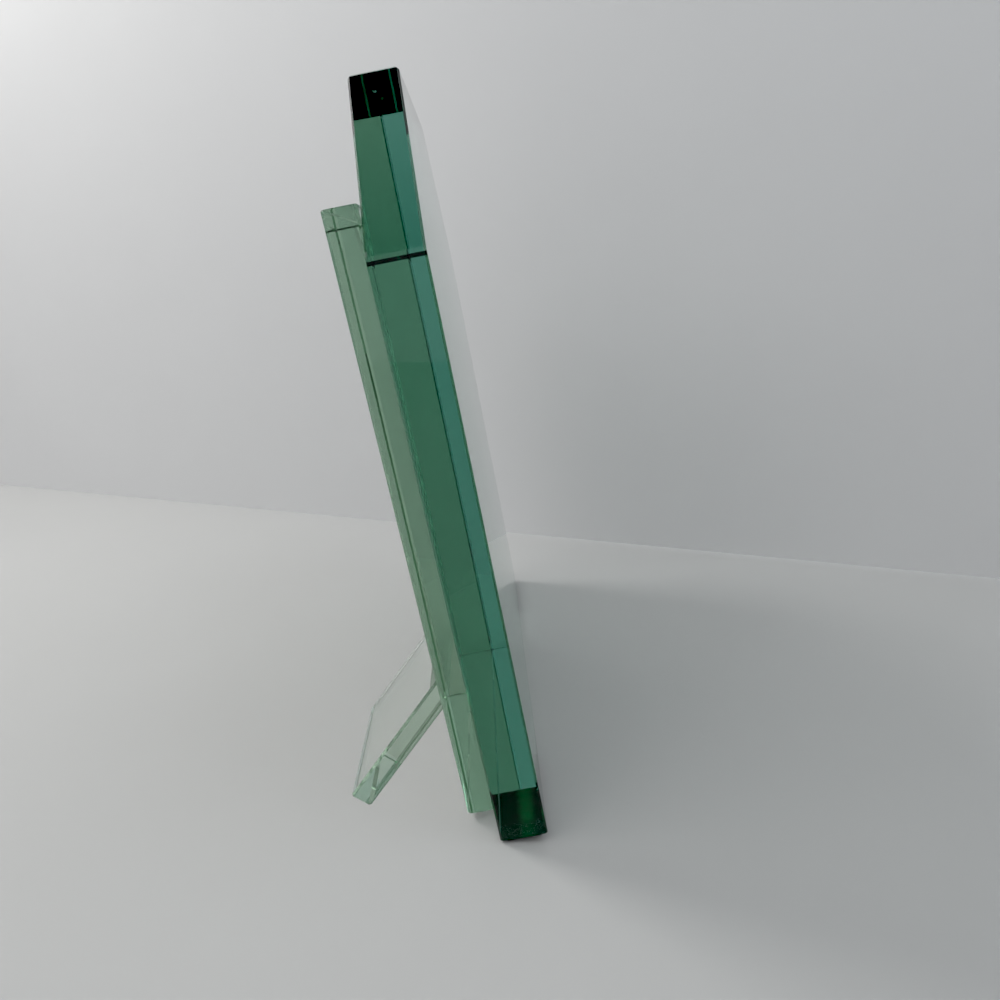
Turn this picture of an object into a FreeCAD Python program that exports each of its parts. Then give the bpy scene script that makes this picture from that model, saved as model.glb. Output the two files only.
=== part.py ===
import FreeCAD, Part
import os

import Sketcher

# Free-standing glass display: a thick front plate with both top corners cut off, a thinner
# rear plate behind its left part, and a glass leg mitred to the rear plate at 45 degrees.
#
# Every piece is drawn upright first: X along the width, Z up the front plate from its bottom
# edge, and the front plate's rear face in the plane Y = 0, with its front towards -Y. The whole
# display is then leaned back and stood on the floor, with the origin in the middle of its
# footprint. Left and right are those of somebody who faces the display.

# Driving dimensions, in millimetres and degrees.
SIZES = {
    # Front plate
    "front_width": 254.0,
    "front_height": 287.0,
    "front_thickness": 19.0,
    "corner_cut": 64.0,
    "front_arris": 0.8,
    "front_top_arris": 1.4,
    "front_foot_arris": 0.4,
    # Rear plate: inset from the front plate's left side, raised from its bottom edge
    "rear_width": 154.0,
    "rear_height": 235.5,
    "rear_thickness": 12.0,
    "rear_inset": 13.0,
    "rear_rise": 4.8,
    "rear_arris": 0.4,
    "rear_side_arris": 1.1,
    # Leg: seat is the height of its top edge on the rear plate, above that plate's bottom edge
    "leg_width": 65.5,
    "leg_thickness": 9.5,
    "leg_inset": 10.3,
    "leg_seat": 58.8,
    "leg_angle": 45.0,
    "leg_arris": 1.0,
    # Clear adhesive: dots between the plates, a film under the leg's mitre
    "bond_thickness": 0.2,
    "dot_diameter": 10.0,
    "dot_inset": 14.0,
    # Pads stuck under the front plate, one at each end
    "pad_length": 50.0,
    "pad_thickness": 1.0,
    "pad_margin": 0.6,
    "pad_corner": 2.5,
    # How far the display leans back from upright
    "lean_angle": 10.7,
}

# Places worked out from the sizes, as the sheet's own expressions.
REAR_LEFT = "(Sizes.front_width / 2 - Sizes.rear_inset)"
REAR_BACK = "(Sizes.bond_thickness + Sizes.rear_thickness)"
LEG_LEFT = f"({REAR_LEFT} - Sizes.leg_inset)"
LEG_FACE = f"({REAR_BACK} + Sizes.bond_thickness)"
LEG_TOP = "(Sizes.rear_rise + Sizes.leg_seat)"
LEG_MITRE = "(Sizes.leg_thickness / sin(Sizes.leg_angle))"
PAD_EDGE = "(Sizes.front_foot_arris + Sizes.pad_margin)"
PAD_WIDTH = f"(Sizes.front_thickness - 2 * {PAD_EDGE})"

# The display stands on the rear lower edges of its pads. Their drop is measured square to the
# floor, from the corner where the front plate's bottom and rear faces would meet.
PAD_DROP = f"(Sizes.pad_thickness * cos(Sizes.lean_angle) - {PAD_EDGE} * sin(Sizes.lean_angle))"

# The leg is as long as it takes for the corner of its foot to reach that same floor.
LEG_SLOPE = "(Sizes.leg_angle - Sizes.lean_angle)"
LEG_TOP_ABOVE_FLOOR = (
    f"({LEG_TOP} * cos(Sizes.lean_angle) - {LEG_FACE} * sin(Sizes.lean_angle) + {PAD_DROP})"
)
LEG_FOOT_ABOVE_CORNER = f"((Sizes.leg_thickness - Sizes.leg_arris) * sin({LEG_SLOPE}))"
LEG_LENGTH = f"(({LEG_TOP_ABOVE_FLOOR} - {LEG_FOOT_ABOVE_CORNER}) / cos({LEG_SLOPE}))"

# The points of a line or a circle, the sketch's own axes and its origin, as the solver numbers them.
START, END, CENTRE = range(1, 4)
LEVEL_AXIS, UPRIGHT_AXIS = range(-1, -3, -1)
ORIGIN = (LEVEL_AXIS, START)

# A face is a ground flat if the part of its direction that points to the plate's back lies
# between these two.
FLAT_SHARES = (0.25, 0.75)

doc = FreeCAD.newDocument("GlassDisplay")


def make_sheet():
    """Put every driving dimension in a sheet, one per row, under its own alias."""
    sheet = doc.addObject("Spreadsheet::Sheet", "Sizes")
    for row, (name, size) in enumerate(SIZES.items(), start=1):
        sheet.set(f"A{row}", name)
        sheet.set(f"B{row}", str(size))
        sheet.setAlias(f"B{row}", name)
    doc.recompute()
    return sheet


sheet = make_sheet()


def value(expression):
    """The number that an expression of the sheet gives."""
    return float(sheet.evalExpression(expression))


def new_body(label):
    """An empty body whose label names its file."""
    body = doc.addObject("PartDesign::Body", label)
    body.Label = label
    return body


def sketch_on(body, role, offset=None):
    """A sketch on one of the body's own planes, moved along its normal by an expression."""
    plane = next(item for item in body.Origin.OriginFeatures if item.Role == role)
    sketch = body.newObject("Sketcher::SketchObject", body.Label + "_sketch")
    sketch.AttachmentSupport = [(plane, "")]
    sketch.MapMode = "FlatFace"
    if offset:
        sketch.setExpression("AttachmentOffset.Base.z", offset)
    return sketch


def closed_outline(sketch, points):
    """Straight lines through the points, joined end to end. Points are pairs of expressions."""
    corners = [FreeCAD.Vector(value(x), value(y), 0) for x, y in points]
    count = len(corners)
    for index, corner in enumerate(corners):
        sketch.addGeometry(Part.LineSegment(corner, corners[(index + 1) % count]))
    for index in range(count):
        sketch.addConstraint(Sketcher.Constraint("Coincident", index, END, (index + 1) % count, START))


def measure(sketch, kind, first, second, name, expression):
    """A named distance from one point to another, bound to the sheet."""
    rule = Sketcher.Constraint(kind, *first, *second, value(expression))
    sketch.renameConstraint(sketch.addConstraint(rule), name)
    sketch.setExpression("Constraints." + name, expression)


def rectangle(sketch, left, bottom, width, height):
    """A rectangle set by its lower left corner and its sides, all as expressions."""
    right = f"({left} + {width})"
    top = f"({bottom} + {height})"
    closed_outline(sketch, [(left, bottom), (right, bottom), (right, top), (left, top)])
    for line in (0, 2):
        sketch.addConstraint(Sketcher.Constraint("Horizontal", line))
    for line in (1, 3):
        sketch.addConstraint(Sketcher.Constraint("Vertical", line))
    measure(sketch, "DistanceX", ORIGIN, (0, START), "left", left)
    measure(sketch, "DistanceY", ORIGIN, (0, START), "bottom", bottom)
    measure(sketch, "DistanceX", (0, START), (0, END), "width", width)
    measure(sketch, "DistanceY", (1, START), (1, END), "height", height)


def pad(body, sketch, length, backwards=False):
    """Extrude the sketch along its normal, or against it."""
    feature = body.newObject("PartDesign::Pad", body.Label + "_pad")
    feature.Profile = sketch
    feature.setExpression("Length", length)
    feature.Reversed = backwards
    doc.recompute()
    return feature


def edge_names(shape, wanted):
    """The solver's names of the edges that pass a test."""
    return [f"Edge{number}" for number, edge in enumerate(shape.Edges, start=1) if wanted(edge)]


def runs_up(edge):
    """Whether an edge runs more upwards than across or to the back."""
    way = edge.tangentAt(edge.FirstParameter)
    return abs(way.z) > max(abs(way.x), abs(way.y))


def is_level(edge):
    """Whether an edge runs along the width."""
    way = edge.tangentAt(edge.FirstParameter)
    return abs(way.x) > max(abs(way.y), abs(way.z))


def foot_edges(shape):
    """Names of the edges around a plate's bottom face, which end below a quarter of its height."""
    box = shape.BoundBox
    quarter = (box.ZMin + box.Center.z) / 2
    return edge_names(shape, lambda edge: edge.BoundBox.ZMax < quarter)


def unground_edges(shape):
    """Names of a plate's edges without those of its flats, which lean half way to its faces."""
    least, most = FLAT_SHARES
    flats = [face for face in shape.Faces if least < abs(face.normalAt(0, 0).y) < most]
    ground = [side for face in flats for side in face.Edges]
    return edge_names(shape, lambda edge: not any(edge.isSame(side) for side in ground))


def arris(body, solid, size, edges=None):
    """Grind a small flat along the named edges of the glass, or along all of them."""
    feature = body.newObject("PartDesign::Chamfer", body.Label + "_arris")
    feature.Base = (solid, edges or edge_names(solid.Shape, bool))
    feature.setExpression("Size", size)
    doc.recompute()
    return feature


def make_front_glass():
    """The thick plate: a rectangle whose top corners are cut off at 45 degrees."""
    body = new_body("front_glass")
    sketch = sketch_on(body, "XZ_Plane")
    half = "Sizes.front_width / 2"
    shoulder = "(Sizes.front_height - Sizes.corner_cut)"
    inner = f"({half} - Sizes.corner_cut)"
    closed_outline(
        sketch,
        [
            (f"-{half}", "0"),
            (half, "0"),
            (half, shoulder),
            (inner, "Sizes.front_height"),
            (f"-{inner}", "Sizes.front_height"),
            (f"-{half}", shoulder),
        ],
    )
    bottom, right, _, top, _, left = range(6)
    for left_point, right_point in (
        ((bottom, START), (bottom, END)),
        ((right, END), (left, START)),
        ((top, START), (top, END)),
    ):
        sketch.addConstraint(Sketcher.Constraint("Symmetric", *left_point, *right_point, UPRIGHT_AXIS))
    sketch.addConstraint(Sketcher.Constraint("PointOnObject", bottom, START, LEVEL_AXIS))
    sketch.addConstraint(Sketcher.Constraint("Vertical", right))
    measure(sketch, "DistanceX", (bottom, START), (bottom, END), "width", "Sizes.front_width")
    measure(sketch, "DistanceY", (right, START), (top, START), "height", "Sizes.front_height")
    measure(sketch, "DistanceX", (top, START), (right, END), "cut_across", "Sizes.corner_cut")
    measure(sketch, "DistanceY", (right, END), (top, START), "cut_down", "Sizes.corner_cut")
    solid = pad(body, sketch, "Sizes.front_thickness")
    middle = solid.Shape.BoundBox.Center.z
    crest = edge_names(solid.Shape, lambda edge: is_level(edge) and edge.BoundBox.ZMin > middle)
    crested = arris(body, solid, "Sizes.front_top_arris", crest)
    foot = foot_edges(crested.Shape)
    sides = [name for name in unground_edges(crested.Shape) if name not in foot]
    sided = arris(body, crested, "Sizes.front_arris", sides)
    arris(body, sided, "Sizes.front_foot_arris", foot_edges(sided.Shape))
    return body


def make_rear_glass():
    """The thinner plate behind, a bond's thickness away from the front plate."""
    body = new_body("rear_glass")
    sketch = sketch_on(body, "XZ_Plane", f"-{REAR_BACK}")
    rectangle(sketch, f"-{REAR_LEFT}", "Sizes.rear_rise", "Sizes.rear_width", "Sizes.rear_height")
    solid = pad(body, sketch, "Sizes.rear_thickness")
    sided = arris(body, solid, "Sizes.rear_side_arris", edge_names(solid.Shape, runs_up))
    ends = edge_names(sided.Shape, lambda edge: not runs_up(edge))
    arris(body, sided, "Sizes.rear_arris", ends)
    return body


def make_leg():
    """The leg, drawn from its left: a strip at an angle, mitred above and square at the foot."""
    body = new_body("easel_leg")
    sketch = sketch_on(body, "YZ_Plane", f"-{LEG_LEFT}")
    run_back = f"({LEG_LENGTH} * sin(Sizes.leg_angle))"
    run_down = f"({LEG_LENGTH} * cos(Sizes.leg_angle))"
    across = "(Sizes.leg_thickness * cos(Sizes.leg_angle))"
    drop = "(Sizes.leg_thickness * sin(Sizes.leg_angle))"
    heel = (f"({LEG_FACE} + {run_back})", f"({LEG_TOP} - {run_down})")
    toe = (f"({heel[0]} - {across})", f"({heel[1]} - {drop})")
    low = (LEG_FACE, f"({LEG_TOP} - {LEG_MITRE})")
    high = (LEG_FACE, LEG_TOP)
    closed_outline(sketch, [high, low, toe, heel])
    mitre, under, foot, upper = range(4)
    sketch.addConstraint(Sketcher.Constraint("Vertical", mitre))
    sketch.addConstraint(Sketcher.Constraint("Parallel", under, upper))
    measure(sketch, "DistanceX", ORIGIN, (mitre, START), "face", LEG_FACE)
    measure(sketch, "DistanceY", ORIGIN, (mitre, START), "seat", LEG_TOP)
    measure(sketch, "DistanceX", (mitre, START), (foot, END), "run_back", run_back)
    measure(sketch, "DistanceY", (foot, END), (mitre, START), "run_down", run_down)
    measure(sketch, "DistanceX", (foot, START), (foot, END), "foot_across", across)
    measure(sketch, "DistanceY", (foot, START), (foot, END), "foot_up", drop)
    solid = pad(body, sketch, "Sizes.leg_width")
    arris(body, solid, "Sizes.leg_arris")
    return body


def make_leg_bond():
    """The film between the flat of the leg's mitre and the back of the rear plate."""
    body = new_body("leg_bond")
    sketch = sketch_on(body, "XZ_Plane", f"-{LEG_FACE}")
    left = f"(Sizes.leg_arris - {LEG_LEFT})"
    low = f"({LEG_TOP} - {LEG_MITRE} + Sizes.leg_arris)"
    width = "(Sizes.leg_width - 2 * Sizes.leg_arris)"
    height = f"({LEG_MITRE} - 2 * Sizes.leg_arris)"
    rectangle(sketch, left, low, width, height)
    pad(body, sketch, "Sizes.bond_thickness")
    return body


def make_bond_dot(label, across, up):
    """One round dot between the plates, its centre given as expressions."""
    body = new_body(label)
    sketch = sketch_on(body, "XZ_Plane")
    centre = FreeCAD.Vector(value(across), value(up), 0)
    radius = "Sizes.dot_diameter / 2"
    circle = sketch.addGeometry(Part.Circle(centre, FreeCAD.Vector(0, 0, 1), value(radius)))
    sketch.renameConstraint(
        sketch.addConstraint(Sketcher.Constraint("Radius", circle, value(radius))), "radius"
    )
    sketch.setExpression("Constraints.radius", radius)
    measure(sketch, "DistanceX", ORIGIN, (circle, CENTRE), "across", across)
    measure(sketch, "DistanceY", ORIGIN, (circle, CENTRE), "up", up)
    pad(body, sketch, "Sizes.bond_thickness", backwards=True)
    return body


def make_bond_dots():
    """Four dots, one near each corner of the rear plate."""
    left = f"(Sizes.dot_inset - {REAR_LEFT})"
    right = f"(Sizes.rear_width - {REAR_LEFT} - Sizes.dot_inset)"
    low = "(Sizes.rear_rise + Sizes.dot_inset)"
    top = "(Sizes.rear_rise + Sizes.rear_height - Sizes.dot_inset)"
    return [
        make_bond_dot("bond_dot_top_left", left, top),
        make_bond_dot("bond_dot_top_right", right, top),
        make_bond_dot("bond_dot_low_left", left, low),
        make_bond_dot("bond_dot_low_right", right, low),
    ]


def make_foot_pad(label, left):
    """A thin pad with rounded corners under the flat of the front plate's bottom face."""
    body = new_body(label)
    sketch = sketch_on(body, "XY_Plane")
    front = f"({PAD_EDGE} - Sizes.front_thickness)"
    rectangle(sketch, left, front, "Sizes.pad_length", PAD_WIDTH)
    solid = pad(body, sketch, "Sizes.pad_thickness", backwards=True)
    rounding = body.newObject("PartDesign::Fillet", label + "_corners")
    rounding.Base = (solid, edge_names(solid.Shape, runs_up))
    rounding.setExpression("Radius", "Sizes.pad_corner")
    doc.recompute()
    return body


def make_foot_pads():
    """One pad at each end of the front plate."""
    left = f"({PAD_EDGE} - Sizes.front_width / 2)"
    right = f"(Sizes.front_width / 2 - {PAD_EDGE} - Sizes.pad_length)"
    return [make_foot_pad("foot_pad_left", left), make_foot_pad("foot_pad_right", right)]


def stand_up(bodies):
    """Lean every piece back together, then set the origin under the middle of the footprint."""
    lean = FreeCAD.Rotation(FreeCAD.Vector(1, 0, 0), -value("Sizes.lean_angle"))
    leaned = Part.makeCompound([body.Shape for body in bodies])
    leaned.Placement = FreeCAD.Placement(FreeCAD.Vector(0, 0, 0), lean)
    box = leaned.optimalBoundingBox(False, False)
    base = FreeCAD.Vector(0, -(box.YMin + box.YMax) / 2, -box.ZMin)
    for body in bodies:
        body.Placement = FreeCAD.Placement(base, lean)
    doc.recompute()


def check(bodies):
    """Stop if a feature failed, or a piece is not one sound solid."""
    for item in doc.Objects:
        if "Invalid" in item.State or "Error" in item.State:
            raise RuntimeError(f"{item.Label} failed: {item.State}")
    for body in bodies:
        shape = body.Shape
        if shape.isNull() or not shape.isValid() or len(shape.Solids) != 1:
            raise RuntimeError(f"{body.Label} is not one sound solid")


def write(bodies):
    """Write each piece to a file of its own."""
    os.makedirs("parts", exist_ok=True)
    for body in bodies:
        body.Shape.exportStep(f"parts/{body.Label}.step")


def main():
    """Build the display, stand it up, check it and write it."""
    bodies = [make_front_glass(), make_rear_glass(), make_leg(), make_leg_bond()]
    bodies += make_bond_dots()
    bodies += make_foot_pads()
    stand_up(bodies)
    check(bodies)
    write(bodies)
    print("leg length", round(value(LEG_LENGTH), 2))


main()
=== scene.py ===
import logging
import math
from dataclasses import dataclass, field
from enum import Enum

import bpy
import numpy as np
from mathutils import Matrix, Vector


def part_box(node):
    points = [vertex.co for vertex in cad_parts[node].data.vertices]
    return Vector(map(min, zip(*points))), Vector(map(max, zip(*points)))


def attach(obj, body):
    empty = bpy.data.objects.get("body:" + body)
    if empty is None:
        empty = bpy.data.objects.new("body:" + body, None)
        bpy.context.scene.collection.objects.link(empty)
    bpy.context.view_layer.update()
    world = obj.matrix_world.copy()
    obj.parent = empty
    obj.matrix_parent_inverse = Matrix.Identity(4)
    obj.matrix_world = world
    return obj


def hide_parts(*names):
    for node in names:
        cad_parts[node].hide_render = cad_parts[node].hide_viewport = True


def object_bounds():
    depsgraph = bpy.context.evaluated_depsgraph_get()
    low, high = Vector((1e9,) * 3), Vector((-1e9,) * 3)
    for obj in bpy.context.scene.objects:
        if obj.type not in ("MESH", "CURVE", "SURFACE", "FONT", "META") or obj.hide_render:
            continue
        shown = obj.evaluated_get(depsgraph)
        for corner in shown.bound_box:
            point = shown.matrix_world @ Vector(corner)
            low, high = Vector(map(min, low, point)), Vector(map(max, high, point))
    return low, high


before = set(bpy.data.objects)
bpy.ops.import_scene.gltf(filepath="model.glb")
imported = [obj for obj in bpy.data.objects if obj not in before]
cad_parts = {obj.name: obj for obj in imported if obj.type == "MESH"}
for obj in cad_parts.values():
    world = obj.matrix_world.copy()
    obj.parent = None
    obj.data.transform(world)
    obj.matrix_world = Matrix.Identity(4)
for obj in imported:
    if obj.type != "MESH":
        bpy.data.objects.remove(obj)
CAD_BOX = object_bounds()

LOG = logging.getLogger("glass_display")

# Sizes shared by several pieces, in metres and radians. Lengths are those of the CAD model.
LEAN = math.radians(10.7)
LEG_ANGLE = math.radians(45.0)
FRONT_WIDTH = 0.254
FRONT_HEIGHT = 0.287
FRONT_THICKNESS = 0.019
FRONT_FOOT_ARRIS = 0.0004
FRONT_TOP_ARRIS = 0.0014
PAD_LENGTH = 0.050
PAD_THICKNESS = 0.001
PAD_MARGIN = 0.0006
GAP = 0.00002

WHITE = (1.0, 1.0, 1.0)

# The brightness that shows as black, as in the photo, whose darkest parts are cut off.
BLACK_LEVEL = 0.02

# Density of the absorption over the largest loss, so that no part of its colour is quite 0.
ABOVE_LARGEST_LOSS = 1.0001

# How many glass faces and how many mirrorings light is followed through.
GLASS_BOUNCES = 32
MIRROR_BOUNCES = 16


class Side(Enum):
    """An end of the display, as somebody who faces it sees it."""

    LEFT = -1
    RIGHT = 1


def corner(node: str) -> tuple[np.ndarray, np.ndarray]:
    """Read a CAD node's box.

    Args:
        node: The node's name.

    Returns:
        Its lowest and highest corners.
    """
    low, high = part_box(node)
    return np.array(low), np.array(high)


@dataclass(frozen=True)
class Upright:
    """The display's own upright directions, leaned back and stood where the CAD model stands.

    Across is along the width, back is square to the plates and away from the viewer, and up is up
    the front plate. The zero is the corner where its bottom and rear faces would meet.
    """

    zero: np.ndarray
    across: np.ndarray = field(default_factory=lambda: np.array([1.0, 0.0, 0.0]))
    back: np.ndarray = field(
        default_factory=lambda: np.array([0.0, math.cos(LEAN), -math.sin(LEAN)])
    )
    up: np.ndarray = field(
        default_factory=lambda: np.array([0.0, math.sin(LEAN), math.cos(LEAN)])
    )

    @classmethod
    def from_frame(cls) -> "Upright":
        """Find the zero from the front plate's box: its front face's low edge and its highest edge.

        Returns:
            The directions with their zero in place.
        """
        low, high = corner("front_glass")
        front_edge = FRONT_THICKNESS * math.cos(LEAN) - FRONT_FOOT_ARRIS * math.sin(LEAN)
        top_depth = FRONT_THICKNESS - FRONT_TOP_ARRIS
        top_edge = FRONT_HEIGHT * math.cos(LEAN) + top_depth * math.sin(LEAN)
        return cls(np.array([0.0, low[1] + front_edge, high[2] - top_edge]))

    def place(self, points: np.ndarray) -> np.ndarray:
        """Turn upright places into places in the model.

        Args:
            points: Rows of across, back and up.

        Returns:
            Rows of X, Y and Z.
        """
        axes = np.stack([self.across, self.back, self.up])
        return self.zero + points @ axes

    def against_plate(self, points: np.ndarray, centre: np.ndarray) -> np.ndarray:
        """Place a form that was drawn flat on a plate, about its centre.

        Args:
            points: Rows of across, up and back from the centre.
            centre: The centre's place from the zero, in X, Y and Z.

        Returns:
            Rows of X, Y and Z.
        """
        across, back, up = (centre @ way for way in (self.across, self.back, self.up))
        placed = np.stack([points[:, 0] + across, points[:, 2] + back, points[:, 1] + up], axis=1)
        return self.place(placed)


class Value:
    """A shader value that Python's own operators work on. Each one adds a Math node."""

    def __init__(self, tree: "Tree", socket: bpy.types.NodeSocket) -> None:
        """Wrap a socket of a tree."""
        self.tree = tree
        self.socket = socket

    def _math(self, operation: str, *values: "Value | float") -> "Value":
        """Add a Math node of that operation and return its result."""
        return self.tree.value("ShaderNodeMath", {"operation": operation}, *values)

    def __add__(self, other: "Value | float") -> "Value":
        """Sum."""
        return self._math("ADD", self, other)

    def __sub__(self, other: "Value | float") -> "Value":
        """Difference."""
        return self._math("SUBTRACT", self, other)

    def __mul__(self, other: "Value | float") -> "Value":
        """Product."""
        return self._math("MULTIPLY", self, other)

    def __radd__(self, other: float) -> "Value":
        """Sum with a number on the left."""
        return self._math("ADD", other, self)

    def __rsub__(self, other: float) -> "Value":
        """Difference with a number on the left."""
        return self._math("SUBTRACT", other, self)

    def __rmul__(self, other: float) -> "Value":
        """Product with a number on the left."""
        return self._math("MULTIPLY", other, self)

    def __abs__(self) -> "Value":
        """Size without its sign."""
        return self._math("ABSOLUTE", self)

    def between(self, low: float, high: float) -> "Value":
        """Rise smoothly from 0 at low to 1 at high.

        Args:
            low: Where the rise begins.
            high: Where it ends. Below low, the value falls instead.

        Returns:
            The share of the rise.
        """
        settings = {"interpolation_type": "SMOOTHSTEP"}
        return self.tree.value("ShaderNodeMapRange", settings, self, low, high, 0.0, 1.0)


class Tree:
    """A material's or a world's nodes, made by one method."""

    def __init__(self, owner: "bpy.types.Material | bpy.types.World", output: str) -> None:
        """Start with nothing but the output.

        Args:
            owner: The new material or world.
            output: Its output node's type.
        """
        owner.use_nodes = True
        self.owner = owner
        self.owner.node_tree.nodes.clear()
        self.output = self.node(output)

    @classmethod
    def material(cls, name: str) -> "Tree":
        """Start a material of that name."""
        return cls(bpy.data.materials.new(name), "ShaderNodeOutputMaterial")

    @classmethod
    def world(cls, name: str) -> "Tree":
        """Start a world of that name."""
        return cls(bpy.data.worlds.new(name), "ShaderNodeOutputWorld")

    def node(
        self,
        kind: str,
        settings: dict | None = None,
        inputs: dict | None = None,
    ) -> bpy.types.Node:
        """Add a node.

        Args:
            kind: The node's type.
            settings: Its properties, set first.
            inputs: Values, sockets or Values for its inputs, by name or number.

        Returns:
            The node.
        """
        made = self.owner.node_tree.nodes.new(kind)
        for name, setting in (settings or {}).items():
            setattr(made, name, setting)
        for name, given in (inputs or {}).items():
            self.feed(made.inputs[name], given)
        return made

    def feed(self, socket: bpy.types.NodeSocket, given: object) -> None:
        """Link a socket or Value to an input, or set it to a constant.

        Args:
            socket: The input.
            given: What it gets.
        """
        if isinstance(given, Value):
            given = given.socket
        if isinstance(given, bpy.types.NodeSocket):
            self.owner.node_tree.links.new(given, socket)
        else:
            socket.default_value = given

    def value(self, kind: str, settings: dict, *values: "Value | float") -> Value:
        """Add a node whose first inputs are the values, and wrap its first output."""
        return Value(self, self.node(kind, settings, dict(enumerate(values))).outputs[0])

    def dot(self, vector: bpy.types.NodeSocket, direction: np.ndarray | tuple) -> Value:
        """How much of a vector points along a direction.

        Args:
            vector: The vector's socket.
            direction: A unit direction.

        Returns:
            The dot product.
        """
        inputs = {0: vector, 1: tuple(direction)}
        product = self.node("ShaderNodeVectorMath", {"operation": "DOT_PRODUCT"}, inputs)
        return Value(self, product.outputs["Value"])

    def along(self, direction: np.ndarray, zero: np.ndarray) -> Value:
        """How far a point of the piece lies along a direction.

        Args:
            direction: A unit direction in the model.
            zero: The place that counts as none.

        Returns:
            The distance in metres.
        """
        place = self.node("ShaderNodeTexCoord").outputs["Object"]
        return self.dot(place, direction) - float(zero @ direction)

    def facing(self, direction: np.ndarray) -> Value:
        """How squarely a face looks along a direction, whichever way round: 1 for square to it."""
        return abs(self.dot(self.node("ShaderNodeTexCoord").outputs["Normal"], direction))

    def noise(self, scale: float, detail: float = 2.0, stretch: tuple = (1.0, 1.0, 1.0)) -> Value:
        """Soft noise in the piece's own coordinates.

        Args:
            scale: Features per metre.
            detail: Finer layers on top of the first.
            stretch: How much finer it is along X, Y and Z.

        Returns:
            A value around a half.
        """
        place = self.node("ShaderNodeTexCoord").outputs["Object"]
        mapped = self.node("ShaderNodeMapping", {}, {"Vector": place, "Scale": stretch}).outputs[0]
        inputs = {"Vector": mapped, "Scale": scale, "Detail": detail}
        return Value(self, self.node("ShaderNodeTexNoise", {}, inputs).outputs[0])

    def bump(self, height: Value, distance: float, strength: float = 1.0) -> bpy.types.NodeSocket:
        """A bump map from a height of 0 to 1 that stands that distance proud."""
        inputs = {"Height": height, "Distance": distance, "Strength": strength}
        return self.node("ShaderNodeBump", {}, inputs).outputs[0]

    def blend(self, share: Value, first: tuple, second: tuple) -> bpy.types.NodeSocket:
        """Mix two colours.

        Args:
            share: How much of the second colour, from 0 to 1.
            first: Red, green and blue of the first.
            second: Red, green and blue of the second.

        Returns:
            The colour's socket.
        """
        mix = self.node("ShaderNodeMix", {"data_type": "RGBA"})
        self.feed(mix.inputs[0], share)
        self.feed(mix.inputs[6], (*first, 1.0))
        self.feed(mix.inputs[7], (*second, 1.0))
        return mix.outputs[2]

    def mix(
        self,
        share: "Value | bpy.types.NodeSocket",
        first: bpy.types.NodeSocket,
        second: bpy.types.NodeSocket,
    ) -> bpy.types.NodeSocket:
        """Mix two shaders by a share."""
        return self.node("ShaderNodeMixShader", {}, {0: share, 1: first, 2: second}).outputs[0]

    def surface(self, shader: bpy.types.NodeSocket) -> "bpy.types.Material | bpy.types.World":
        """Use that shader and return the finished material or world."""
        self.feed(self.output.inputs["Surface"], shader)
        return self.owner


@dataclass(frozen=True)
class GluedPatch:
    """The patch of the front plate's bottom face that the left pad's glue has wetted.

    The glue joins the pad to the glass, so the bottom no longer mirrors there and shows the dark
    pad, with bubbles near its left end. Along its middle runs a painted green glow, which stands
    for light that has come down through the glass. Distances are in metres, and those along the pad
    are measured from its left end.
    """

    upright: Upright
    ragged: float = 0.0016
    bottom_band: tuple[float, float] = (0.0003, 0.0001)
    soft_end: float = 0.0006
    end_fade: tuple[float, float] = (0.012, 0.022)
    # The streak is a painted green glow of light that has come down through the glass.
    glow_forward: float = 0.0018
    glow_fade: tuple[float, float] = (0.0046, 0.0006)
    glow_at_end: float = 0.4
    bubble_share: float = 0.6
    bubble_band: tuple[float, float] = (0.6, 0.68)
    dark: tuple[float, float, float] = (0.001, 0.028, 0.011)
    painted_glow: tuple[float, float, float] = (0.006, 0.19, 0.05)
    rough: float = 0.7
    gleam: float = 0.05

    def left_end(self) -> float:
        """Where the pad begins, across the display."""
        return -FRONT_WIDTH / 2 + FRONT_FOOT_ARRIS + PAD_MARGIN

    def wander(self, tree: Tree) -> Value:
        """A small shift that makes the outlines ragged."""
        return (tree.noise(scale=260.0, detail=2.0) - 0.5) * self.ragged

    def wet(self, tree: Tree) -> Value:
        """How wet the glass is.

        Args:
            tree: The material's nodes.

        Returns:
            1 on the patch, 0 off it, and less than 1 at a bubble.
        """
        across = tree.along(self.upright.across, self.upright.zero)
        on_bottom = tree.along(self.upright.up, self.upright.zero).between(*self.bottom_band)
        right_end = self.left_end() + PAD_LENGTH
        along_pad = (across + self.wander(tree)).between(right_end, right_end - self.soft_end)
        near, far = (self.left_end() + way for way in self.end_fade)
        spots = tree.noise(scale=1500.0, detail=1.0).between(*self.bubble_band)
        bubbles = 1.0 - spots * across.between(far, near) * self.bubble_share
        return on_bottom * along_pad * bubbles

    def shader(self, tree: Tree) -> bpy.types.NodeSocket:
        """The pad as it shows through the glue, with a painted green glow along its middle.

        Args:
            tree: The material's nodes.

        Returns:
            The shader of the wetted glass.
        """
        across = tree.along(self.upright.across, self.upright.zero)
        back = tree.along(self.upright.back, self.upright.zero)
        middle = FRONT_THICKNESS / 2 + self.glow_forward
        off_middle = abs(back + self.wander(tree) + middle)
        near, far = (self.left_end() + way for way in self.end_fade)
        strength = self.glow_at_end + across.between(near, far) * (1.0 - self.glow_at_end)
        # Painted glow: green along the pad's middle, fainter towards its left end, standing for
        # light come down through the glass.
        color = tree.blend(off_middle.between(*self.glow_fade) * strength, self.dark, self.painted_glow)
        inputs = {"Base Color": color, "Roughness": self.rough, "Specular IOR Level": self.gleam}
        return tree.node("ShaderNodeBsdfPrincipled", {}, inputs).outputs[0]


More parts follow.
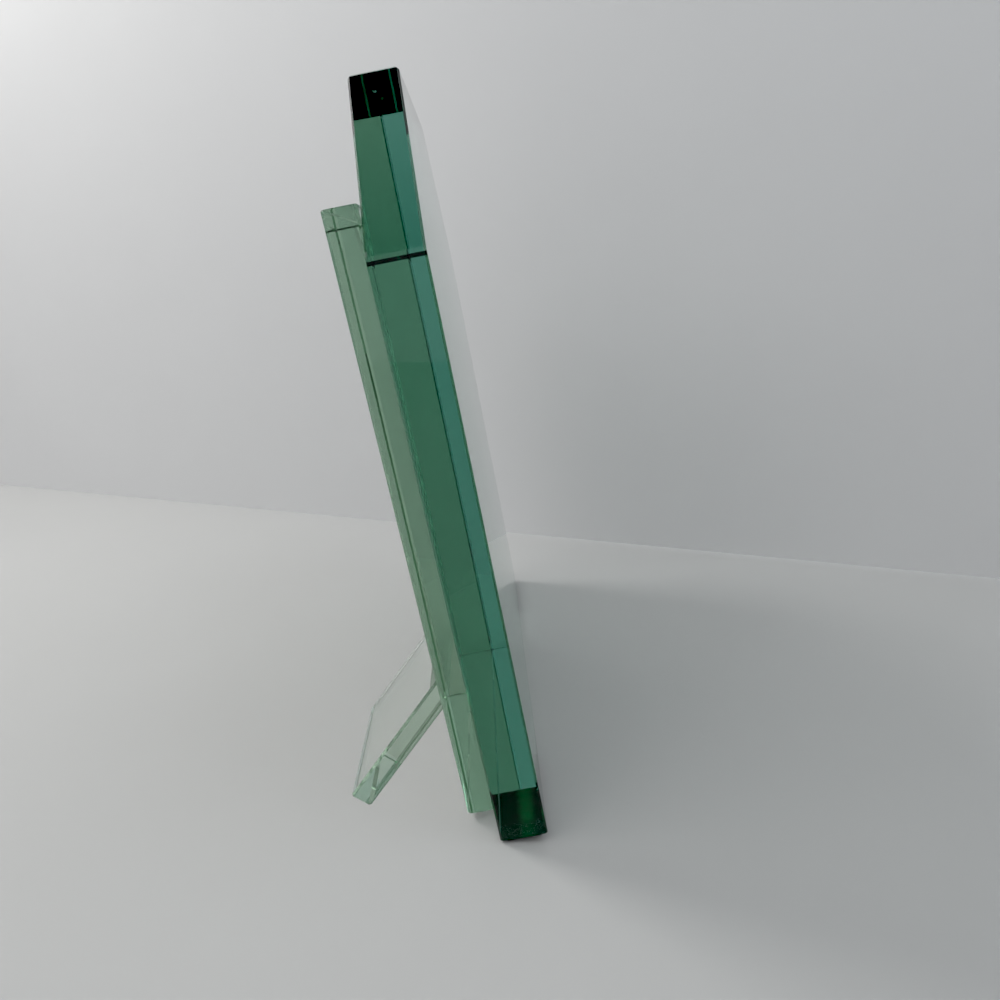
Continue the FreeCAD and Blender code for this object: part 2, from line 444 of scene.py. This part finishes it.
@dataclass(frozen=True)
class FloatGlass:
    """Ordinary float glass: clear face on, deep green through its edge.

    Light falls off by a fixed share per metre, so the colour deepens with the length of glass.
    """

    name: str
    loss_per_metre: tuple[float, float, float] = (8.7, 4.1, 5.2)
    bend: float = 1.52
    # A painted reflection: a warmer glass mixed in where light skims inside the rear face.
    painted_rear_reflection: tuple[float, float, float] | None = None
    # Painted shade: a darker glass mixed in on the arrises.
    painted_arris_shade: tuple[float, float, float] | None = None
    off_edge: tuple[float, float] = (0.15, 0.3)
    off_face: tuple[float, float] = (0.98, 0.93)
    arris_rough: float = 0.02
    handled_band: tuple[float, float] = (0.56, 0.8)
    handled_rough: float = 0.01
    ripple_stretch: tuple[float, float, float] = (1.0, 1.0, 0.35)
    ripple_height: float = 0.000004
    rear_band: tuple[float, float] = (-0.00006, -0.00002)
    skim_band: tuple[float, float] = (0.55, 0.75)

    def material(
        self,
        upright: Upright,
        square: np.ndarray,
        stuck: bool = False,
    ) -> bpy.types.Material:
        """Make the finish.

        Args:
            upright: The display's own directions, which the faces are told apart by.
            square: The direction square to this plate's faces.
            stuck: Whether a pad is glued under this plate's left end.

        Returns:
            The material.
        """
        tree = Tree.material(self.name)
        # The arrises are the faces at a slant to the plate, ground a little less smooth; on the leg
        # they are also darkened with painted shade.
        slant = tree.facing(square)
        arris = slant.between(*self.off_edge) * slant.between(*self.off_face)
        handled = tree.noise(scale=38.0, detail=4.0).between(*self.handled_band)
        rough = arris * self.arris_rough + handled * self.handled_rough
        ripple = tree.noise(scale=620.0, detail=1.0, stretch=self.ripple_stretch)
        bump = tree.bump(ripple, self.ripple_height, strength=0.25)
        shader = self.clear(tree, rough, bump, WHITE)
        # Painted shade on the arrises: a darker glass is mixed in there, which draws dark lines
        # along the edges.
        if self.painted_arris_shade:
            shader = tree.mix(arris, shader, self.clear(tree, rough, bump, self.painted_arris_shade))
        # Painted reflection: where light skims inside the rear face, a warmer glass is mixed in.
        if self.painted_rear_reflection:
            warmer_reflection = self.clear(tree, rough, bump, self.painted_rear_reflection)
            shader = tree.mix(self.skimming(tree, upright), shader, warmer_reflection)
        if stuck:
            patch = GluedPatch(upright)
            shader = tree.mix(patch.wet(tree), shader, patch.shader(tree))
        density = max(self.loss_per_metre) * ABOVE_LARGEST_LOSS
        tint = tuple(1.0 - loss / density for loss in self.loss_per_metre)
        inputs = {"Color": (*tint, 1.0), "Density": density}
        inside = tree.node("ShaderNodeVolumeAbsorption", {}, inputs)
        tree.feed(tree.output.inputs["Volume"], inside.outputs[0])
        return tree.surface(shader)

    def clear(
        self,
        tree: Tree,
        rough: Value,
        bump: bpy.types.NodeSocket,
        tint: tuple[float, float, float],
    ) -> bpy.types.NodeSocket:
        """Glass whose faces tint the light by one colour all over."""
        inputs = {"IOR": self.bend, "Roughness": rough, "Normal": bump, "Color": (*tint, 1.0)}
        return tree.node("ShaderNodeBsdfGlass", {}, inputs).outputs[0]

    def skimming(self, tree: Tree, upright: Upright) -> Value:
        """Where light skims along inside the front plate's rear face, on which a warmer reflection
        is painted.

        Args:
            tree: The material's nodes.
            upright: The display's own directions.

        Returns:
            1 where it does, 0 elsewhere.
        """
        weight = tree.node("ShaderNodeLayerWeight", {}, {"Blend": 0.5})
        skims = Value(tree, weight.outputs["Facing"]).between(*self.skim_band)
        within = Value(tree, tree.node("ShaderNodeNewGeometry").outputs["Backfacing"])
        rear = tree.along(upright.back, upright.zero).between(*self.rear_band)
        return rear * within * skims


@dataclass(frozen=True)
class ClearGlue:
    """Clear set adhesive, as smooth and nearly as dense as the glass."""

    name: str = "clear_glue"
    bend: float = 1.47
    tint: tuple[float, float, float] = (0.97, 0.99, 0.975)
    least_rough: float = 0.03
    haze_rough: float = 0.12
    haze_band: tuple[float, float] = (0.45, 0.8)
    dimple_height: float = 0.00002

    def material(self) -> bpy.types.Material:
        """Make the finish.

        Returns:
            The material.
        """
        tree = Tree.material(self.name)
        haze = tree.noise(scale=900.0, detail=3.0).between(*self.haze_band)
        dimples = tree.noise(scale=500.0, detail=2.0)
        inputs = {
            "IOR": self.bend,
            "Roughness": self.least_rough + haze * self.haze_rough,
            "Normal": tree.bump(dimples, self.dimple_height, strength=0.4),
            "Color": (*self.tint, 1.0),
        }
        return tree.surface(tree.node("ShaderNodeBsdfGlass", {}, inputs).outputs[0])


@dataclass(frozen=True)
class PadRubber:
    """Matt dark rubber with a fine grain and lighter scuffs."""

    name: str = "pad_rubber"
    dark: tuple[float, float, float] = (0.016, 0.02, 0.018)
    scuffed: tuple[float, float, float] = (0.07, 0.075, 0.07)
    scuff_band: tuple[float, float] = (0.5, 0.75)
    least_rough: float = 0.62
    grain_rough: float = 0.25
    grain_height: float = 0.00006

    def material(self) -> bpy.types.Material:
        """Make the finish.

        Returns:
            The material.
        """
        tree = Tree.material(self.name)
        scuffs = tree.noise(scale=160.0, detail=4.0).between(*self.scuff_band)
        grain = tree.noise(scale=2600.0, detail=2.0)
        inputs = {
            "Base Color": tree.blend(scuffs, self.dark, self.scuffed),
            "Roughness": self.least_rough + grain * self.grain_rough,
            "Normal": tree.bump(grain, self.grain_height, strength=0.6),
        }
        return tree.surface(tree.node("ShaderNodeBsdfPrincipled", {}, inputs).outputs[0])


@dataclass(frozen=True)
class PlainPaper:
    """Matt pale card for the floor and the backdrop, clear from behind."""

    name: str
    shade: tuple[float, float, float]
    darkest_share: float = 0.96
    rough: float = 0.85

    def material(self) -> bpy.types.Material:
        """Make the finish.

        Returns:
            The material.
        """
        tree = Tree.material(self.name)
        mottle = tree.noise(scale=9.0, detail=3.0)
        darker = tuple(part * self.darkest_share for part in self.shade)
        inputs = {"Base Color": tree.blend(mottle, darker, self.shade), "Roughness": self.rough}
        card = tree.node("ShaderNodeBsdfPrincipled", {}, inputs).outputs[0]
        clear = tree.node("ShaderNodeBsdfTransparent").outputs[0]
        behind = tree.node("ShaderNodeNewGeometry").outputs["Backfacing"]
        return tree.surface(tree.mix(behind, card, clear))


def mesh_object(name: str, points: np.ndarray, faces: list[list[int]]) -> bpy.types.Object:
    """Make a mesh object at the origin.

    Args:
        name: The piece's name.
        points: Rows of X, Y and Z.
        faces: Point numbers of each face.

    Returns:
        The object, in the scene.
    """
    mesh = bpy.data.meshes.new(name)
    mesh.from_pydata(points.tolist(), [], faces)
    mesh.update()
    made = bpy.data.objects.new(name, mesh)
    bpy.context.scene.collection.objects.link(made)
    return made


def dress(piece: bpy.types.Object, material: bpy.types.Material) -> None:
    """Give a piece one material in place of whatever it has."""
    piece.data.materials.clear()
    piece.data.materials.append(material)


def ring_faces(rings: int, around: int) -> list[list[int]]:
    """Faces of a closed form made of rings of points between two end points.

    Args:
        rings: How many rings there are.
        around: How many points a ring has.

    Returns:
        Point numbers: the first end point is 0, the rings follow, and the last end point is last.
    """
    first = np.arange(around)
    after = (first + 1) % around
    starts = 1 + around * np.arange(rings)[:, None]
    low, high = starts[:-1], starts[1:]
    near = np.stack([np.zeros_like(first), 1 + after, 1 + first], axis=-1)
    sides = np.stack([low + first, low + after, high + after, high + first], axis=-1)
    last = np.full_like(first, 1 + rings * around)
    far = np.stack([last, starts[-1] + first, starts[-1] + after], axis=-1)
    return [*near.tolist(), *sides.reshape(-1, 4).tolist(), *far.tolist()]


def thin_form(
    outline: np.ndarray,
    inward: np.ndarray,
    heights: np.ndarray,
    shrink: np.ndarray,
) -> np.ndarray:
    """Points of a thin closed form, such as a pad or a drop of glue.

    Each ring is the outline drawn in by its own amount towards the middle, at its own height:
    point = outline + inward x shrink, with the height as the third number.

    Args:
        outline: Rows of two, the widest ring.
        inward: Rows of two, a unit way in from each outline point.
        heights: Each ring's height.
        shrink: How far each ring is drawn in, in metres.

    Returns:
        Rows of three: the middle at the first height, the rings in order, the middle at the last.
    """
    flat = outline[None, :, :] + inward[None, :, :] * shrink[:, None, None]
    tall = np.broadcast_to(heights[:, None, None], (*flat.shape[:2], 1))
    rings = np.concatenate([flat, tall], axis=2).reshape(-1, 3)
    middle = outline.mean(axis=0)
    return np.vstack([[*middle, heights[0]], rings, [*middle, heights[-1]]])


def pressed_form(
    outline: np.ndarray,
    inward: np.ndarray,
    half: float,
    steps: int,
) -> np.ndarray:
    """Points of glue pressed flat between two faces, whose rim bulges out in a half circle.

    The ring at each angle from -90 to 90 degrees stands at height = half x sine, and is drawn in
    by half x (1 - cosine).

    Args:
        outline: Rows of two, the widest ring.
        inward: Rows of two, a unit way in from each outline point.
        half: Half the glue's thickness.
        steps: How many rings the rim has.

    Returns:
        Rows of three, in the order of thin_form.
    """
    rim = np.linspace(-math.pi / 2, math.pi / 2, steps)
    return thin_form(outline, inward, half * np.sin(rim), half * (1 - np.cos(rim)))


@dataclass
class Plates:
    """The two upright plates and the clear glue dots between them."""

    upright: Upright
    dot_points: int = 96
    dot_wobble: float = 0.05
    second_wave: float = 0.6
    rim_steps: int = 7
    turn_step: float = 1.3

    def dress_glass(self) -> None:
        """Give both plates their glass, with the left pad's glue under the front one."""
        # The front plate's rear face gets a painted warmer reflection where light skims inside it.
        front = FloatGlass("front_float_glass", painted_rear_reflection=(0.93, 0.84, 0.7))
        rear = FloatGlass("rear_float_glass", (7.2, 4.4, 6.4))
        back = self.upright.back
        dress(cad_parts["front_glass"], front.material(self.upright, back, stuck=True))
        dress(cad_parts["rear_glass"], rear.material(self.upright, back))

    def dot(self, node: str, turn: float) -> bpy.types.Object:
        """A drop of glue pressed flat between the plates.

        Its outline is nearly a circle: reach = radius x (1 - wobble x (1 + waves / largest) / 2),
        where waves = sine of 3 x angle + second wave x sine of 5 x angle, each begun at its own
        turn, and largest = 1 + second wave.

        Args:
            node: The CAD node that it stands for.
            turn: Where its waves begin, in radians.

        Returns:
            The drop.
        """
        low, high = corner(node)
        centre = (low + high) / 2 - self.upright.zero
        radius = (high[0] - low[0]) / 2
        angle = np.linspace(0.0, 2 * math.pi, self.dot_points, endpoint=False)
        waves = np.sin(3 * angle + turn) + self.second_wave * np.sin(5 * angle - 2 * turn)
        reach = radius * (1 - self.dot_wobble * (1 + waves / (1 + self.second_wave)) / 2)
        out = np.stack([np.cos(angle), np.sin(angle)], axis=1)
        # The zero is on the front plate's rear face, so the centre lies half the gap behind it.
        half = centre @ self.upright.back - GAP
        points = pressed_form(out * reach[:, None], -out, half, self.rim_steps)
        placed = self.upright.against_plate(points, centre)
        made = mesh_object(f"{node}_glue", placed, ring_faces(self.rim_steps, self.dot_points))
        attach(made, "root")
        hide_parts(node)
        return made

    def build(self) -> list[bpy.types.Object]:
        """Dress the plates and make the dots.

        Returns:
            The new pieces.
        """
        self.dress_glass()
        glue = ClearGlue().material()
        made = []
        for turn, place in enumerate(("top_left", "top_right", "low_left", "low_right")):
            dot = self.dot(f"bond_dot_{place}", self.turn_step * turn)
            dress(dot, glue)
            made.append(dot)
        return made


@dataclass
class Leg:
    """The slanted leg and the film of glue that holds its mitre to the rear plate."""

    upright: Upright
    film_thickness: float = 0.0002
    side_steps: int = 12
    rim_steps: int = 5

    def dress_glass(self) -> None:
        """Give the leg its glass, and keep the floor under it bright.

        The lamps' light would stop at it as if it were solid, so it casts no shadow and is left
        out of the light that bounces between floor and backdrop.
        """
        # The leg's arrises are darkened with painted shade.
        glass = FloatGlass("leg_float_glass", (7.8, 4.8, 7.2), painted_arris_shade=(0.66, 0.72, 0.67))
        square = self.upright.back * math.cos(LEG_ANGLE) + self.upright.up * math.sin(LEG_ANGLE)
        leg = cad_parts["easel_leg"]
        dress(leg, glass.material(self.upright, square))
        leg.visible_shadow = False
        leg.visible_diffuse = False

    def outline(self, half_wide: float, half_tall: float) -> tuple[np.ndarray, np.ndarray]:
        """A rectangle with points evenly along each side.

        Each side runs straight from its corner to the next:
        point = corner + (next corner - corner) x share.

        Args:
            half_wide: Half its width.
            half_tall: Half its height.

        Returns:
            The outline's points and the unit ways from them to its middle.
        """
        corners = np.array([[-1, -1], [1, -1], [1, 1], [-1, 1]]) * [half_wide, half_tall]
        share = np.linspace(0.0, 1.0, self.side_steps, endpoint=False)[:, None]
        side = np.roll(corners, -1, axis=0) - corners
        points = (corners[:, None] + side[:, None] * share).reshape(-1, 2)
        return points, -points / np.linalg.norm(points, axis=1)[:, None]

    def film(self) -> bpy.types.Object:
        """The film of glue, which keeps clear of the glass by a hair.

        Its height up the plate = (its box's height - thickness x sine of the lean) / cosine.

        Returns:
            The film.
        """
        low, high = corner("leg_bond")
        centre = (low + high) / 2 - self.upright.zero
        tall = ((high[2] - low[2]) - self.film_thickness * math.sin(LEAN)) / math.cos(LEAN)
        outline, inward = self.outline((high[0] - low[0]) / 2, tall / 2)
        half = self.film_thickness / 2 - GAP
        points = pressed_form(outline, inward, half, self.rim_steps)
        placed = self.upright.against_plate(points, centre)
        made = mesh_object("leg_bond_glue", placed, ring_faces(self.rim_steps, len(outline)))
        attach(made, "root")
        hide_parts("leg_bond")
        return made

    def build(self) -> list[bpy.types.Object]:
        """Dress the leg and make the film.

        Returns:
            The new pieces.
        """
        self.dress_glass()
        film = self.film()
        dress(film, ClearGlue("leg_glue").material())
        return [film]


@dataclass
class Pads:
    """The two dark pads under the front plate's ends."""

    upright: Upright
    corner_round: float = 0.0025
    corner_steps: int = 8
    soft: float = 0.00015
    flat_share: float = 4.0

    def outline(self, half_long: float, half_wide: float) -> tuple[np.ndarray, np.ndarray]:
        """A rectangle with round corners.

        Each corner is a quarter circle about a centre that lies the corner's radius in from both
        sides: point = centre + radius x (cosine, sine) of an angle that runs a quarter turn.

        Args:
            half_long: Half its length.
            half_wide: Half its width.

        Returns:
            The outline's points and the unit ways in from them.
        """
        quarter = np.linspace(0.0, math.pi / 2, self.corner_steps)
        angle = np.concatenate([quarter + start * math.pi / 2 for start in range(4)])
        way = np.stack([np.cos(angle), np.sin(angle)], axis=1)
        signs = np.repeat([[1, 1], [-1, 1], [-1, -1], [1, -1]], self.corner_steps, axis=0)
        centres = signs * [half_long - self.corner_round, half_wide - self.corner_round]
        return centres + way * self.corner_round, -way

    def pad(self, side: Side, material: bpy.types.Material) -> bpy.types.Object:
        """One pad, a hair under the glass.

        Its side is upright, and both rims are softened: from the face to one soft width away from
        it, the outline widens by one soft width.

        Args:
            side: Which end it is under.
            material: Its finish.

        Returns:
            The pad.
        """
        margin = FRONT_FOOT_ARRIS + PAD_MARGIN
        half_wide = FRONT_THICKNESS / 2 - margin
        outline, inward = self.outline(PAD_LENGTH / 2, half_wide)
        soft, low = self.soft, -PAD_THICKNESS
        heights = np.array([low, low, soft + low, -soft, -GAP, -GAP])
        flat = self.flat_share * soft
        shrink = np.array([flat, soft, 0.0, 0.0, soft, flat])
        points = thin_form(outline, inward, heights, shrink)
        across = side.value * (FRONT_WIDTH / 2 - margin - PAD_LENGTH / 2)
        back = -FRONT_THICKNESS / 2
        placed = np.stack([points[:, 0] + across, points[:, 1] + back, points[:, 2]], axis=1)
        name = f"foot_pad_{side.name.lower()}"
        faces = ring_faces(len(heights), len(outline))
        made = mesh_object(f"{name}_rubber", self.upright.place(placed), faces)
        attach(made, "root")
        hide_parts(name)
        dress(made, material)
        return made

    def build(self) -> list[bpy.types.Object]:
        """Make both pads.

        Returns:
            The new pieces.
        """
        rubber = PadRubber().material()
        return [self.pad(side, rubber) for side in Side]


@dataclass
class Studio:
    """A pale floor, a pale backdrop beyond the display, soft light, and the photo's camera."""

    wall_distance: float = 0.236
    wall_turn: float = math.radians(17.2)
    reach: float = 1.6
    card_gap: float = 0.0016
    camera_place: tuple[float, float, float] = (-0.36769, -0.01326, 0.21993)
    camera_heading: float = math.radians(-1.91)
    camera_tilt: float = math.radians(-17.77)
    lens: float = 27.0
    sensor: float = 36.0
    nearest: float = 0.01
    floor_shade: tuple[float, float, float] = (0.57, 0.57, 0.56)
    backdrop_shade: tuple[float, float, float] = (0.7, 0.7, 0.7)
    warm: tuple[float, float, float] = (1.0, 0.99, 0.97)
    cool: tuple[float, float, float] = (0.86, 0.95, 1.0)
    around: tuple[float, float, float] = (0.53, 0.54, 0.56)
    overhead: tuple[float, float, float] = (0.12, 0.12, 0.13)
    overhead_band: tuple[float, float] = (0.7, 0.95)

    def card(self, name: str, corners: list[tuple[float, float, float]], shade: tuple) -> None:
        """A flat sheet of card that isn't part of the object.

        Args:
            name: Its name.
            corners: Its four corners in turn.
            shade: Its colour.
        """
        made = mesh_object(name, np.array(corners), [[0, 1, 2, 3]])
        dress(made, PlainPaper(f"{name}_card", shade).material())

    def lamp(self, name: str, place: tuple, size: float, watts: float, tint: tuple) -> None:
        """A soft square lamp that looks at the display's middle.

        Args:
            name: Its name.
            place: Where it is.
            size: Its side.
            watts: Its power.
            tint: The colour of its light.
        """
        light = bpy.data.lights.new(name, "AREA")
        light.size = size
        light.energy = watts
        light.color = tint
        made = bpy.data.objects.new(name, light)
        bpy.context.scene.collection.objects.link(made)
        made.location = place
        middle = (np.array(CAD_BOX[0]) + np.array(CAD_BOX[1])) / 2
        towards = Vector(middle) - made.location
        made.rotation_euler = towards.to_track_quat("-Z", "Y").to_euler()

    def build(self) -> None:
        """Set the stage, the light and the camera."""
        far = self.reach
        floor = [(-far, -far, 0), (far, -far, 0), (far, far, 0), (-far, far, 0)]
        self.card("floor", floor, self.floor_shade)
        slope = math.tan(self.wall_turn)
        low, high = self.wall_distance - slope * far, self.wall_distance + slope * far
        gap = self.card_gap
        backdrop = [(low, -far, gap), (low, -far, far), (high, far, far), (high, far, gap)]
        self.card("backdrop", backdrop, self.backdrop_shade)
        self.lamp("key", place=(0.2, 0.62, 0.78), size=0.25, watts=3.1, tint=self.warm)
        self.lamp("side", place=(-0.42, 0.7, 0.9), size=0.8, watts=2.8, tint=self.warm)
        self.lamp("fill", place=(-0.1, -0.5, 0.9), size=0.7, watts=1.9, tint=self.cool)
        bpy.context.scene.world = self.room_light()
        self.camera()

    def room_light(self) -> bpy.types.World:
        """Even light from all around, weaker from straight above, as under a ceiling.

        Returns:
            The world.
        """
        tree = Tree.world("room_light")
        way = tree.node("ShaderNodeTexCoord").outputs["Generated"]
        ceiling = tree.dot(way, (0.0, 0.0, 1.0)).between(*self.overhead_band)
        color = tree.blend(ceiling, self.around, self.overhead)
        return tree.surface(tree.node("ShaderNodeBackground", {}, {"Color": color}).outputs[0])

    def camera(self) -> None:
        """Stand the camera where the photo was taken from, level from side to side."""
        data = bpy.data.cameras.new("photo_camera")
        data.lens = self.lens
        data.sensor_width = self.sensor
        data.clip_start = self.nearest
        made = bpy.data.objects.new("photo_camera", data)
        bpy.context.scene.collection.objects.link(made)
        made.location = self.camera_place
        pitch = math.pi / 2 + self.camera_tilt
        made.rotation_euler = (pitch, 0.0, self.camera_heading - math.pi / 2)
        bpy.context.scene.camera = made


def set_light_paths() -> None:
    """Follow light through many glass faces, and show plain colours down to the black level."""
    scene = bpy.context.scene
    scene.cycles.max_bounces = GLASS_BOUNCES
    scene.cycles.transmission_bounces = GLASS_BOUNCES
    scene.cycles.glossy_bounces = MIRROR_BOUNCES
    scene.cycles.transparent_max_bounces = MIRROR_BOUNCES
    scene.view_settings.view_transform = "Standard"
    scene.view_settings.use_curve_mapping = True
    curves = scene.view_settings.curve_mapping
    curves.black_level = (BLACK_LEVEL, BLACK_LEVEL, BLACK_LEVEL)
    curves.update()


def main() -> None:
    """Dress the display, add what the CAD model leaves to the eye, and set the stage."""
    logging.basicConfig(level=logging.INFO)
    upright = Upright.from_frame()
    for assembly in (Plates(upright), Leg(upright), Pads(upright)):
        for piece in assembly.build():
            LOG.info("%s: %d points", piece.name, len(piece.data.vertices))
    Studio().build()
    set_light_paths()


if __name__ == "__main__":
    main()
